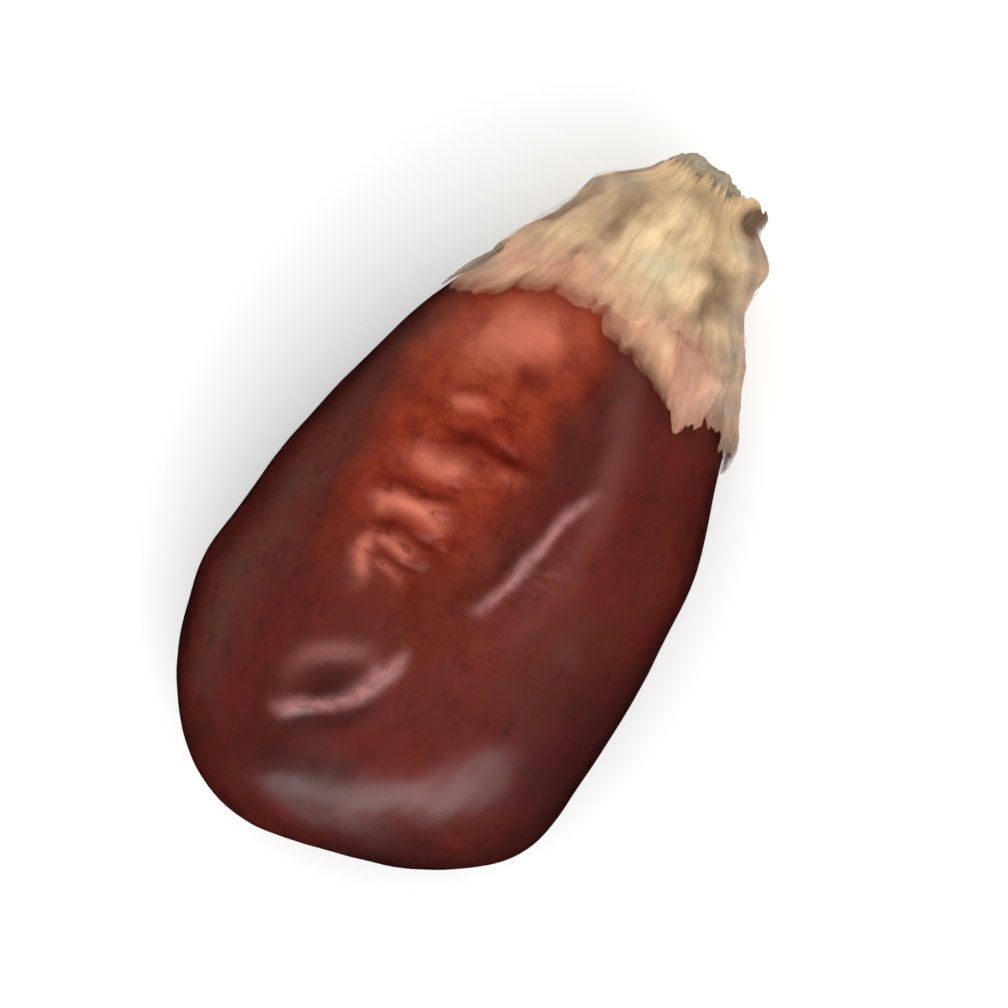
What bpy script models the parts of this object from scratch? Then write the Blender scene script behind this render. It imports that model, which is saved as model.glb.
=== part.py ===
"""A shelled corn kernel with the papery chaff of its floret still clinging to the tip.

Metres, +Z up. The kernel lies on its back, germ side up. Its crown points to -Y and its
tip to +Y. While it is built, Y is the distance from the crown; at the end the whole
kernel is moved so that the origin is the bottom centre of its box.
"""

import math

import bmesh
import bpy
from mathutils import Vector

# The grain, from the crown to the blunt end of its tip cap.
GRAIN_LENGTH = 0.0109
GRAIN_WIDTH = 0.0069
GRAIN_THICKNESS = 0.0047
WIDEST_FROM_CROWN = 0.0033
THICKEST_FROM_CROWN = 0.0034
TIP_WIDTH = 0.0030
TIP_THICKNESS = 0.0018
TIP_ROUNDING = 0.0004
CROWN_SLANT = 0.25
SIDEWAYS_BOW = 0.00014
SECTION_POWER = 2.3
CROWN_POWER_RIGHT = 3.4
CROWN_POWER_LEFT = 1.8
CROWN_POWER_UPRIGHT = 2.1
TAPER_POWER = 2.35

# The back: its depth below the widest level, and what the flat resting face takes off it.
BACK_DEPTH = 0.0021
RESTING_FACE_TRIM = 0.00012

# The germ's shallow trough, which lies a little to the -X side, and the dimple below it.
GERM_SHIFT = -0.0008
GERM_WIDTH = 0.0032
GERM_DEPTH = 0.00032
GERM_FROM_CROWN = 0.0041
GERM_FADE = 0.0009
DIMPLE_FROM_CROWN = 0.0029
DIMPLE_RADIUS = 0.0009
DIMPLE_DEPTH = 0.00012

# The torn stalk that stays on the tip cap.
PEDICEL_LENGTH = 0.0015
PEDICEL_WIDTH = 0.0014
PEDICEL_THICKNESS = 0.0011
PEDICEL_END_SHARE = 0.72
PEDICEL_TEAR = 0.00012
PEDICEL_ROOM = 0.0001

# The bracts: thin sheets in two layers round the tip.
BRACT_THICKNESS = 0.0001
CLEARANCE = 0.00007
BRACT_BASE_FROM_TIP = 0.0012
BRACT_BASE_SLANT = 0.0002
COLLAR_POWER = 2.0
BRACT_SIDE_GAP = math.radians(6.0)
UPPER_GLUME_LENGTH = 0.0022
PALEA_LENGTH = 0.0026
LEMMA_LENGTH = 0.0032
LEMMA_SLOPE = 0.0012
LEMMA_POINT = 0.7
LOWER_GLUME_LENGTH = 0.0035
GLUME_FLARE = 0.00010
EDGE_RIPPLE = 0.00008
EDGE_SWAY = 0.0002

# Facets.
GRAIN_SEGMENTS = 44
CROWN_RINGS = 18
CROWN_SPACING = 1.6
TAPER_RINGS = 22
TIP_RINGS = 4
PEDICEL_SEGMENTS = 16
PEDICEL_RINGS = 6
BRACT_COLUMNS = 18
BRACT_ROWS = 10


def clear_scene():
    for item in list(bpy.data.objects):
        bpy.data.objects.remove(item)


def mix(start, end, share):
    return start + (end - start) * share


def ease(low, high, value):
    """0 below low, 1 above high, and a smooth rise between them."""
    share = min(max((value - low) / (high - low), 0.0), 1.0)
    return share * share * (3.0 - 2.0 * share)


def egg_share(y, fullest, end_share, crown_power):
    """The share of its fullest size that a section has at y: a blunt crown, then a long taper."""
    if y < fullest:
        return max(1.0 - (1.0 - y / fullest) ** crown_power, 0.0) ** (1.0 / crown_power)
    along = (y - fullest) / (GRAIN_LENGTH - fullest)
    return 1.0 - (1.0 - end_share) * along**TAPER_POWER


def collar_size(y, tip_size, stalk_size):
    """Half the room past the grain's end, which closes in on the stalk at the bracts' base."""
    share = min((y - GRAIN_LENGTH) / BRACT_BASE_FROM_TIP, 1.0) ** COLLAR_POWER
    return mix(tip_size / 2.0, stalk_size / 2.0 + PEDICEL_ROOM, share)


def half_width(y, crown_power):
    if y > GRAIN_LENGTH:
        return collar_size(y, TIP_WIDTH, PEDICEL_WIDTH)
    end_share = TIP_WIDTH / GRAIN_WIDTH
    return GRAIN_WIDTH / 2.0 * egg_share(y, WIDEST_FROM_CROWN, end_share, crown_power)


def half_height(y, full_height):
    if y > GRAIN_LENGTH:
        return collar_size(y, TIP_THICKNESS, PEDICEL_THICKNESS)
    end_share = TIP_THICKNESS / 2.0 / full_height
    return full_height * egg_share(y, THICKEST_FROM_CROWN, end_share, CROWN_POWER_UPRIGHT)


def section_point(y, angle, outset=0.0, shrink=1.0):
    """A point at this angle round the kernel: 0 is +X, a quarter turn is up, the germ side.

    The crown is blunter towards +X than towards -X.
    """
    side = math.cos(angle)
    rise = math.sin(angle)
    full_height = GRAIN_THICKNESS - BACK_DEPTH if rise > 0.0 else BACK_DEPTH + RESTING_FACE_TRIM
    power = 2.0 / SECTION_POWER
    width = half_width(y, CROWN_POWER_RIGHT if side > 0.0 else CROWN_POWER_LEFT)
    x = math.copysign(abs(side) ** power, side) * (width + outset) * shrink
    z = math.copysign(abs(rise) ** power, rise) * (half_height(y, full_height) + outset) * shrink
    slant = CROWN_SLANT * x * (1.0 - ease(0.0, WIDEST_FROM_CROWN, y))
    bow = SIDEWAYS_BOW * math.sin(math.pi * min(y / GRAIN_LENGTH, 1.0))
    return Vector((x + bow, y + slant, BACK_DEPTH + z))


def germ_relief(point):
    """How far the germ's trough and the dimple at its crown end lie below the rounded face."""
    across = (point.x - GERM_SHIFT) / (GERM_WIDTH / 2.0)
    trough = max(1.0 - across * across, 0.0) ** 2
    trough *= ease(GERM_FROM_CROWN, GERM_FROM_CROWN + GERM_FADE, point.y)
    away = math.hypot(point.x - GERM_SHIFT, point.y - DIMPLE_FROM_CROWN) / DIMPLE_RADIUS
    dimple = max(1.0 - away * away, 0.0) ** 2
    return GERM_DEPTH * trough + DIMPLE_DEPTH * dimple


def new_material(name, color, roughness):
    material = bpy.data.materials.new(name)
    material.use_nodes = True
    shader = material.node_tree.nodes["Principled BSDF"]
    shader.inputs["Base Color"].default_value = (*color, 1.0)
    shader.inputs["Roughness"].default_value = roughness
    shader.inputs["Metallic"].default_value = 0.0
    material.diffuse_color = (*color, 1.0)
    return material


def new_object(name, bm, material):
    mesh = bpy.data.meshes.new(name)
    bm.to_mesh(mesh)
    bm.free()
    mesh.materials.append(material)
    mesh.shade_smooth()
    item = bpy.data.objects.new(name, mesh)
    bpy.context.scene.collection.objects.link(item)
    return item


def loft(rings, first_pole, last_pole):
    """A closed body through rings of points, ending in a fan of faces round each pole."""
    bm = bmesh.new()
    loops = [[bm.verts.new(point) for point in ring] for ring in rings]
    count = len(rings[0])
    for lower, upper in zip(loops, loops[1:]):
        for i in range(count):
            j = (i + 1) % count
            bm.faces.new((lower[i], lower[j], upper[j], upper[i]))
    for loop, pole in ((loops[0], first_pole), (loops[-1], last_pole)):
        centre = bm.verts.new(pole)
        for i in range(count):
            bm.faces.new((loop[i], loop[(i + 1) % count], centre))
    bmesh.ops.recalc_face_normals(bm, faces=bm.faces)
    return bm


def grain_stations():
    """Distances from the crown for the grain's rings, close together on the round crown."""
    crown = [
        WIDEST_FROM_CROWN * (1.0 - math.cos(math.pi / 2.0 * (i / CROWN_RINGS) ** CROWN_SPACING))
        for i in range(1, CROWN_RINGS + 1)
    ]
    taper_end = GRAIN_LENGTH - TIP_ROUNDING
    taper = [mix(WIDEST_FROM_CROWN, taper_end, i / TAPER_RINGS) for i in range(1, TAPER_RINGS + 1)]
    tip = [
        taper_end + TIP_ROUNDING * math.sin(math.pi / 2.0 * i / TIP_RINGS)
        for i in range(1, TIP_RINGS)
    ]
    return crown + taper + tip


def grain_ring(y):
    into_tip = max(y - (GRAIN_LENGTH - TIP_ROUNDING), 0.0) / TIP_ROUNDING
    shrink = math.sqrt(1.0 - into_tip * into_tip)
    ring = []
    for i in range(GRAIN_SEGMENTS):
        point = section_point(y, math.tau * i / GRAIN_SEGMENTS, shrink=shrink)
        if point.z > BACK_DEPTH:
            up = (point.z - BACK_DEPTH) / (GRAIN_THICKNESS - BACK_DEPTH)
            point.z -= germ_relief(point) * ease(0.0, 1.0, up)
        point.z = max(point.z, 0.0)
        ring.append(point)
    return ring


def make_grain():
    """The grain in one piece: seed coat, germ and tip cap, with its back flattened to rest on."""
    rings = [grain_ring(y) for y in grain_stations()]
    bm = loft(rings, Vector((0.0, 0.0, BACK_DEPTH)), Vector((0.0, GRAIN_LENGTH, BACK_DEPTH)))
    return new_object("grain", bm, new_material("seed_coat", (0.16, 0.022, 0.014), 0.3))


def make_pedicel():
    """The short stalk past the tip cap, with the slanted and uneven end of a tear."""
    start = GRAIN_LENGTH + CLEARANCE
    rings = []
    for i in range(PEDICEL_RINGS + 1):
        share = i / PEDICEL_RINGS
        size = mix(1.0, PEDICEL_END_SHARE, share)
        ring = []
        for j in range(PEDICEL_SEGMENTS):
            angle = math.tau * j / PEDICEL_SEGMENTS
            tear = PEDICEL_TEAR * share * math.sin(angle + 2.0) * math.sin(2.0 * angle)
            x = math.cos(angle) * PEDICEL_WIDTH / 2.0 * size
            z = math.sin(angle) * PEDICEL_THICKNESS / 2.0 * size
            ring.append(Vector((x, start + share * PEDICEL_LENGTH + tear, BACK_DEPTH + z)))
        rings.append(ring)
    end = start + PEDICEL_LENGTH
    bm = loft(rings, Vector((0.0, start, BACK_DEPTH)), Vector((0.0, end, BACK_DEPTH)))
    return new_object("pedicel", bm, new_material("stalk", (0.42, 0.31, 0.18), 0.85))


def make_bract(name, first_angle, last_angle, layer, reach, flare, material):
    """A thin sheet wrapped round the tip, from its torn base down to a free edge.

    reach(across) is how far the free edge lies below the grain's end, for across from 0 to 1.
    """
    bm = bmesh.new()
    outset = CLEARANCE + layer * (BRACT_THICKNESS + CLEARANCE)
    rows = []
    for row in range(BRACT_ROWS + 1):
        down = row / BRACT_ROWS
        points = []
        for column in range(BRACT_COLUMNS + 1):
            across = column / BRACT_COLUMNS
            angle = mix(first_angle, last_angle, across)
            base = GRAIN_LENGTH + BRACT_BASE_FROM_TIP + BRACT_BASE_SLANT * math.cos(angle)
            free = GRAIN_LENGTH - reach(across) + EDGE_RIPPLE * math.sin(5.0 * angle)
            point = section_point(mix(base, free, down), angle, outset + flare * down**2)
            points.append(bm.verts.new(point))
        rows.append(points)
    for upper, lower in zip(rows, rows[1:]):
        for i in range(BRACT_COLUMNS):
            bm.faces.new((upper[i], upper[i + 1], lower[i + 1], lower[i]))
    item = new_object(name, bm, material)
    solid = item.modifiers.new("Thickness", "SOLIDIFY")
    solid.thickness = BRACT_THICKNESS
    solid.offset = 1.0
    return item


def make_bracts():
    """The floret's four bracts: three side by side on the grain, and one over the germ side."""
    straw = (0.66, 0.52, 0.33)
    lemma_from = math.radians(-8.0)
    lemma_to = math.radians(58.0)
    palea_to = math.radians(158.0)
    lower_from = palea_to + BRACT_SIDE_GAP
    lower_to = math.tau + lemma_from - BRACT_SIDE_GAP
    upper_from = math.radians(22.0)
    upper_to = math.radians(150.0)

    def lower_glume_reach(across):
        return LOWER_GLUME_LENGTH - BRACT_BASE_FROM_TIP - EDGE_SWAY * math.sin(math.pi * across)

    def lemma_reach(across):
        return LEMMA_LENGTH - BRACT_BASE_FROM_TIP - LEMMA_SLOPE * abs(across - LEMMA_POINT)

    def palea_reach(across):
        return PALEA_LENGTH - BRACT_BASE_FROM_TIP + EDGE_SWAY * math.cos(math.tau * across)

    def upper_glume_reach(across):
        return UPPER_GLUME_LENGTH - BRACT_BASE_FROM_TIP + EDGE_SWAY * math.cos(math.tau * across)

    return [
        make_bract(
            "lower_glume", lower_from, lower_to, 0, lower_glume_reach, GLUME_FLARE,
            new_material("lower_glume_chaff", straw, 0.7),
        ),
        make_bract(
            "lemma", lemma_from, lemma_to, 0, lemma_reach, 0.0,
            new_material("lemma_chaff", (0.60, 0.38, 0.26), 0.65),
        ),
        make_bract(
            "palea", lemma_to + BRACT_SIDE_GAP, palea_to, 0, palea_reach, 0.0,
            new_material("palea_chaff", (0.64, 0.42, 0.30), 0.65),
        ),
        make_bract(
            "upper_glume", upper_from, upper_to, 1, upper_glume_reach, GLUME_FLARE,
            new_material("upper_glume_chaff", straw, 0.7),
        ),
    ]


def stand_on_origin(parts):
    """Moves the whole kernel so that the origin is the bottom centre of its box."""
    bpy.context.view_layer.update()
    graph = bpy.context.evaluated_depsgraph_get()
    corners = [Vector(corner) for part in parts for corner in part.evaluated_get(graph).bound_box]
    low = [min(corner[axis] for corner in corners) for axis in range(3)]
    high = [max(corner[axis] for corner in corners) for axis in range(3)]
    shift = Vector((-(low[0] + high[0]) / 2.0, -(low[1] + high[1]) / 2.0, -low[2]))
    for part in parts:
        part.location = shift


clear_scene()
stand_on_origin([make_grain(), make_pedicel(), *make_bracts()])
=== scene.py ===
"""The looks of a dried dark red corn kernel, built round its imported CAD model.

The CAD frame is in metres. The fine shapes here are worked out in millimetres: a station
is a distance from the crown along the kernel, as in the CAD design, and the relief on the
germ side is placed in the frame's own X and Y.
"""

import math

import bpy
import numpy as np
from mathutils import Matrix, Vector


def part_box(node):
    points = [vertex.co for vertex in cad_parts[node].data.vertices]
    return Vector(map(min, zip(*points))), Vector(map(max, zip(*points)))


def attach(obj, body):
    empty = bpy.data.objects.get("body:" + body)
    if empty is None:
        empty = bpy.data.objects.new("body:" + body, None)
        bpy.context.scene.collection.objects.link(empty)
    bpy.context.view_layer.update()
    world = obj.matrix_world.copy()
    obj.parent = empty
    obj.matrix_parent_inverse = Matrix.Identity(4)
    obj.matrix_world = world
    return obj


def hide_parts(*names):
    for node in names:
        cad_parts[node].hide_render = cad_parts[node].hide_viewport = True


MM = 0.001
TAU = 2.0 * math.pi

# The grain's form, in millimetres, with the values of the CAD design.
GRAIN_LENGTH = 10.9
GRAIN_WIDTH = 6.9
GRAIN_THICKNESS = 4.7
WIDEST_FROM_CROWN = 3.3
THICKEST_FROM_CROWN = 3.4
TIP_WIDTH = 3.0
TIP_THICKNESS = 1.8
TIP_ROUNDING = 0.4
CROWN_SLANT = 0.25
SIDEWAYS_BOW = 0.14
SECTION_POWER = 2.3
CROWN_POWER_RIGHT = 3.4
CROWN_POWER_LEFT = 1.8
CROWN_POWER_UPRIGHT = 2.1
TAPER_POWER = 2.35
BACK_DEPTH = 2.1
RESTING_FACE_TRIM = 0.12
PEDICEL_LENGTH = 1.5
PEDICEL_WIDTH = 1.4
PEDICEL_THICKNESS = 1.1
PEDICEL_ROOM = 0.1
BRACT_BASE_FROM_TIP = 1.2
COLLAR_POWER = 2.0

# The stage, in metres, watts and degrees.
CAMERA_HEIGHT = 0.090
CAMERA_LENS = 200.0
CAMERA_ROLL = 33.0
LAMP_BEARING = -57.0
LAMP_ELEVATION = 26.0
LAMP_DISTANCE = 0.30
LAMP_SIZE = (0.46, 0.14)
LAMP_POWER = 0.66
LAMP_ROLL = 30.0
LAMP_TARGET = (0.0, 0.0, 0.002)
SKY_STRENGTH = 1.25
FLOOR_HALF_SIDE = 0.5

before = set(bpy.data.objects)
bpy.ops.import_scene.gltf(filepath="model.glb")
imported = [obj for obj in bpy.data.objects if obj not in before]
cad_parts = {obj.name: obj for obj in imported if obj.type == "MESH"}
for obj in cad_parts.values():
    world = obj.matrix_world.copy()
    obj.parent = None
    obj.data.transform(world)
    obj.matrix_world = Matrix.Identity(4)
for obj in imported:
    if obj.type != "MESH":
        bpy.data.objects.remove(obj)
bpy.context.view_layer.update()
grain_low, grain_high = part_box("grain")
pedicel_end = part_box("pedicel")[1].y / MM


# Camera and lights


def aim(item, target):
    item.rotation_euler = (Vector(target) - item.location).to_track_quat("-Z", "Y").to_euler()


def add_camera():
    """Straight above the kernel, rolled so that the tip points up and to the right."""
    data = bpy.data.cameras.new("camera")
    data.lens = CAMERA_LENS
    data.sensor_width = 36.0
    data.clip_start = 0.001
    data.clip_end = 5.0
    camera = bpy.data.objects.new("camera", data)
    camera.location = (0.0, 0.0, CAMERA_HEIGHT)
    camera.rotation_euler = (0.0, 0.0, math.radians(CAMERA_ROLL))
    bpy.context.scene.collection.objects.link(camera)
    bpy.context.scene.camera = camera


def add_area_light(name, location, size, power, roll):
    data = bpy.data.lights.new(name, "AREA")
    data.shape = "RECTANGLE"
    data.size, data.size_y = size
    data.energy = power
    light = bpy.data.objects.new(name, data)
    light.location = location
    aim(light, LAMP_TARGET)
    light.rotation_euler.rotate_axis("Z", math.radians(roll))
    bpy.context.scene.collection.objects.link(light)


def from_bearing(bearing, elevation, distance):
    """A point at this bearing (degrees from +X towards +Y) and elevation round the kernel."""
    flat = distance * math.cos(math.radians(elevation))
    x = flat * math.cos(math.radians(bearing))
    y = flat * math.sin(math.radians(bearing))
    return (x, y, distance * math.sin(math.radians(elevation)))


def add_lights():
    """A broad low softbox beyond the crown, and an even white sky.

    Neither the sky nor the floor is mirrored: in their glare the dark coat would turn grey.
    """
    location = from_bearing(LAMP_BEARING, LAMP_ELEVATION, LAMP_DISTANCE)
    add_area_light("key_softbox", location, LAMP_SIZE, LAMP_POWER, LAMP_ROLL)
    world = bpy.data.worlds.new("studio")
    world.use_nodes = True
    background = world.node_tree.nodes["Background"]
    background.inputs["Color"].default_value = (1.0, 1.0, 1.0, 1.0)
    background.inputs["Strength"].default_value = SKY_STRENGTH
    world.cycles_visibility.glossy = False
    bpy.context.scene.world = world


def add_floor():
    mesh = bpy.data.meshes.new("floor")
    half = FLOOR_HALF_SIDE
    corners = [(-half, -half, 0.0), (half, -half, 0.0), (half, half, 0.0), (-half, half, 0.0)]
    mesh.from_pydata(corners, [], [(0, 1, 2, 3)])
    floor = bpy.data.objects.new("floor", mesh)
    bpy.context.scene.collection.objects.link(floor)
    material = bpy.data.materials.new("white_paper")
    material.use_nodes = True
    shader = material.node_tree.nodes["Principled BSDF"]
    shader.inputs["Base Color"].default_value = (0.90, 0.90, 0.895, 1.0)
    shader.inputs["Roughness"].default_value = 0.9
    shader.inputs["Specular IOR Level"].default_value = 0.1
    mesh.materials.append(material)
    floor.visible_glossy = False


add_camera()
add_lights()
add_floor()
bpy.context.scene.view_settings.view_transform = "Standard"


# Shared arithmetic

WAVES_PER_OCTAVE = 18
OCTAVE_FADE = 0.55


def mix(start, end, share):
    return start + (end - start) * share


def ease(low, high, value):
    share = np.clip((value - low) / (high - low), 0.0, 1.0)
    return share * share * (3.0 - 2.0 * share)


def hump(distance, width):
    """A smooth ridge: 1 on its crest, falling off over about this width to either side."""
    return np.exp(-((distance / width) ** 2))


def make_noise(seed, feature, octaves=3, stretch=(1.0, 1.0, 1.0)):
    """A smooth random function of points in space, about -1 to 1, with features of this size."""
    random = np.random.default_rng(seed)
    count = WAVES_PER_OCTAVE
    waves = []
    for octave in range(octaves):
        directions = random.normal(size=(count, 3))
        directions /= np.linalg.norm(directions, axis=1)[:, None]
        lengths = feature / 2.0**octave * random.uniform(0.7, 1.5, count)
        vectors = directions * (TAU / lengths)[:, None] / np.array(stretch)
        phases = random.uniform(0.0, TAU, count)
        waves.append((vectors, phases, OCTAVE_FADE**octave * math.sqrt(2.0 / count)))

    def noise(points):
        points = np.asarray(points)
        total = np.zeros(points.shape[:-1])
        for vectors, phases, strength in waves:
            total += strength * np.sin(points @ vectors.T + phases).sum(axis=-1)
        return total

    return noise


# The rounded form that the grain, the chaff and the stalk are built round


def egg_share(y, fullest, end_share, crown_power):
    crown = 1.0 - np.clip(1.0 - y / fullest, 0.0, 1.0) ** crown_power
    crown = np.clip(crown, 0.0, 1.0) ** (1.0 / crown_power)
    along = np.clip((y - fullest) / (GRAIN_LENGTH - fullest), 0.0, 1.0)
    return np.where(y < fullest, crown, 1.0 - (1.0 - end_share) * along**TAPER_POWER)


def collar_size(y, tip_size, stalk_size):
    share = np.clip((y - GRAIN_LENGTH) / BRACT_BASE_FROM_TIP, 0.0, 1.0) ** COLLAR_POWER
    return mix(tip_size / 2.0, stalk_size / 2.0 + PEDICEL_ROOM, share)


def half_width(y, crown_power):
    end_share = TIP_WIDTH / GRAIN_WIDTH
    grain = GRAIN_WIDTH / 2.0 * egg_share(y, WIDEST_FROM_CROWN, end_share, crown_power)
    return np.where(y > GRAIN_LENGTH, collar_size(y, TIP_WIDTH, PEDICEL_WIDTH), grain)


def half_height(y, full_height):
    end_share = TIP_THICKNESS / 2.0 / full_height
    grain = full_height * egg_share(y, THICKEST_FROM_CROWN, end_share, CROWN_POWER_UPRIGHT)
    return np.where(y > GRAIN_LENGTH, collar_size(y, TIP_THICKNESS, PEDICEL_THICKNESS), grain)


def section_points(y, angle, outset=0.0, shrink=1.0):
    """Points at these stations and angles round the kernel: 0 is +X and a quarter turn is up."""
    side, rise = np.cos(angle), np.sin(angle)
    power = 2.0 / SECTION_POWER
    up = half_height(y, GRAIN_THICKNESS - BACK_DEPTH)
    down = half_height(y, BACK_DEPTH + RESTING_FACE_TRIM)
    height = np.where(rise > 0.0, up, down) + outset
    width = np.where(side > 0.0, half_width(y, CROWN_POWER_RIGHT), half_width(y, CROWN_POWER_LEFT))
    x = np.sign(side) * np.abs(side) ** power * (width + outset) * shrink
    z = np.sign(rise) * np.abs(rise) ** power * height * shrink
    slant = CROWN_SLANT * x * (1.0 - ease(0.0, WIDEST_FROM_CROWN, y))
    bow = SIDEWAYS_BOW * np.sin(math.pi * np.clip(y / GRAIN_LENGTH, 0.0, 1.0))
    return np.stack([x + bow, y + slant, BACK_DEPTH + z], axis=-1)


def frame_shift():
    """From stations to the frame: the grain's blunt end and its sides meet the CAD grain's box."""
    angle = np.linspace(0.0, TAU, 361)
    widest = section_points(np.full_like(angle, WIDEST_FROM_CROWN), angle)[:, 0]
    middle = (widest.min() + widest.max()) / 2.0
    x = (grain_low.x + grain_high.x) / 2.0 / MM - middle
    return np.array([x, grain_high.y / MM - GRAIN_LENGTH, 0.0])


SHIFT = frame_shift()


def grid_normals(points, wrap):
    """Outward unit normals of a grid of points, rows along the kernel and columns round it."""
    along = np.gradient(points, axis=0)
    if wrap:
        around = np.roll(points, -1, axis=1) - np.roll(points, 1, axis=1)
    else:
        around = np.gradient(points, axis=1)
    normals = np.cross(along, around)
    lengths = np.linalg.norm(normals, axis=-1, keepdims=True)
    return normals / np.maximum(lengths, 1e-9)


def grid_faces(rows, columns, wrap):
    index = np.arange(rows * columns).reshape(rows, columns)
    right = np.roll(index, -1, axis=1) if wrap else index[:, 1:]
    left = index if wrap else index[:, :-1]
    quads = np.stack([left[:-1], left[1:], right[1:], right[:-1]], axis=-1)
    return quads.reshape(-1, 4)


def capped_tube(points, foot, head):
    """The vertices and faces of a tube of points, closed by a fan round a pole at each end."""
    rows, columns = points.shape[:2]
    faces = [tuple(face) for face in grid_faces(rows, columns, wrap=True)]
    foot_index, head_index = rows * columns, rows * columns + 1
    last = (rows - 1) * columns
    for i in range(columns):
        j = (i + 1) % columns
        faces.append((i, j, foot_index))
        faces.append((last + j, last + i, head_index))
    return np.concatenate([points.reshape(-1, 3), foot, head]), faces


def new_object(name, points, faces, material, values):
    """A smooth mesh object from points in millimetres, with named numbers at its points."""
    mesh = bpy.data.meshes.new(name)
    mesh.from_pydata((points * MM).tolist(), [], [tuple(face) for face in faces])
    for label, numbers in values.items():
        attribute = mesh.attributes.new(label, "FLOAT", "POINT")
        attribute.data.foreach_set("value", np.asarray(numbers, np.float32).ravel())
    mesh.validate()
    mesh.shade_smooth()
    mesh.materials.append(material)
    item = bpy.data.objects.new(name, mesh)
    bpy.context.scene.collection.objects.link(item)
    return item


# Material building blocks


def new_material(name):
    material = bpy.data.materials.new(name)
    material.use_nodes = True
    tree = material.node_tree
    return material, tree, tree.nodes["Principled BSDF"]


def add_node(tree, kind, settings=None, inputs=None):
    node = tree.nodes.new(kind)
    for name, value in (settings or {}).items():
        setattr(node, name, value)
    for name, value in (inputs or {}).items():
        if isinstance(value, bpy.types.NodeSocket):
            tree.links.new(value, node.inputs[name])
        else:
            node.inputs[name].default_value = value
    return node


def mask(tree, label):
    return add_node(tree, "ShaderNodeAttribute", {"attribute_name": label}).outputs["Fac"]


def place(tree, stretch=(1.0, 1.0, 1.0)):
    """The piece's own coordinates, squeezed along each axis by these factors."""
    coordinates = add_node(tree, "ShaderNodeTexCoord").outputs["Object"]
    mapping = add_node(tree, "ShaderNodeMapping", inputs={"Vector": coordinates, "Scale": stretch})
    return mapping.outputs["Vector"]


def texture(tree, feature, stretch=(1.0, 1.0, 1.0), detail=3.0, rough=0.55):
    """Noise whose features are about this many millimetres across."""
    values = {
        "Vector": place(tree, stretch),
        "Scale": 1.0 / (feature * MM),
        "Detail": detail,
        "Roughness": rough,
    }
    return add_node(tree, "ShaderNodeTexNoise", inputs=values).outputs["Fac"]


def remap(tree, value, low, high, new_low=0.0, new_high=1.0):
    values = {
        "Value": value,
        "From Min": low,
        "From Max": high,
        "To Min": new_low,
        "To Max": new_high,
    }
    return add_node(tree, "ShaderNodeMapRange", inputs=values).outputs["Result"]


def calculate(tree, operation, first, second):
    node = add_node(tree, "ShaderNodeMath", {"operation": operation})
    for socket, value in zip(node.inputs, (first, second)):
        if isinstance(value, bpy.types.NodeSocket):
            tree.links.new(value, socket)
        else:
            socket.default_value = value
    return node.outputs[0]


def masked(tree, label, strength):
    """One of a piece's masks, weakened by a number or by another socket."""
    return calculate(tree, "MULTIPLY", mask(tree, label), strength)


def blend_color(tree, share, first, second):
    node = add_node(tree, "ShaderNodeMix", {"data_type": "RGBA"})
    sockets = {0: share, 6: first, 7: second}
    for position, value in sockets.items():
        socket = node.inputs[position]
        if isinstance(value, bpy.types.NodeSocket):
            tree.links.new(value, socket)
        elif position == 0:
            socket.default_value = value
        else:
            socket.default_value = (*value, 1.0)
    return node.outputs[2]


def add_bumps(tree, shader, layers):
    """Stacks bump layers, each (height socket, depth in millimetres)."""
    normal = None
    for height, depth in layers:
        values = {"Height": height, "Distance": depth * MM, "Strength": 1.0}
        if normal is not None:
            values["Normal"] = normal
        normal = add_node(tree, "ShaderNodeBump", inputs=values).outputs["Normal"]
    tree.links.new(normal, shader.inputs["Normal"])


# The grain

GRAIN_COLUMNS = 320
CROWN_ROWS = 96
TAPER_ROWS = 184
TIP_ROWS = 12
ALMOST_ONE = 0.999
GERM_MIDDLE = -0.72
GERM_HALF_WIDTH = 1.66
GERM_FULL_FROM = 1.0
GERM_CROWN_END = -2.45
GERM_POWER = 2.2

# Folds of the seed coat over the embryo and the creases between them: start, end, half
# width, and height or depth, in millimetres.
GERM_FOLDS = [
    ((-1.68, -0.14), (-0.72, 0.15), 0.19, 0.080),
    ((-1.74, -0.99), (-0.56, -0.69), 0.14, 0.105),
    ((-1.34, -1.42), (-0.70, -1.40), 0.10, 0.085),
    ((-1.15, -1.84), (-0.75, -1.80), 0.09, 0.040),
    ((-1.48, -1.38), (-1.24, -2.22), 0.15, 0.090),
    ((-1.55, 0.98), (-1.00, 1.06), 0.11, 0.060),
    ((-0.75, 0.34), (0.10, 0.44), 0.16, 0.015),
    ((-1.70, 1.95), (-0.75, 2.80), 0.42, 0.080),
]
GERM_CREASES = [
    ((-1.80, -0.60), (-0.45, -0.40), 0.085, 0.055),
    ((-1.70, -1.22), (-0.40, -1.10), 0.080, 0.060),
    ((-1.22, -1.62), (-0.45, -1.58), 0.070, 0.045),
    ((-1.35, 0.52), (0.15, 0.76), 0.130, 0.080),
    ((-1.00, 1.70), (-0.45, 2.08), 0.160, 0.050),
    ((-0.42, -0.10), (-0.34, -2.20), 0.150, 0.035),
]
SIDE_RIDGE = [(1.10, 0.95), (0.93, 0.45), (0.82, -0.25), (0.71, -1.05), (0.54, -1.75)]
OUTER_RIDGE = [
    (0.45, 3.20), (0.72, 2.30), (1.05, 1.45), (1.30, 0.50), (1.40, -0.60), (1.25, -1.80),
]

# The fold of skin past the germ's crown end, in millimetres and degrees.
LIP_CENTRE = (-2.17, -2.42)
LIP_RADIUS = 2.26
LIP_HEIGHT = 0.080
LIP_FOOT_DEPTH = 0.018
DIMPLE_CENTRE = (-0.70, -3.74)
DIMPLE_SLOPE = 47.0
DIMPLE_HALF_LENGTH = 0.76
DIMPLE_HALF_WIDTH = 0.52
DIMPLE_DEPTH = 0.11
FAR_RIM_HEIGHT = 0.035

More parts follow.
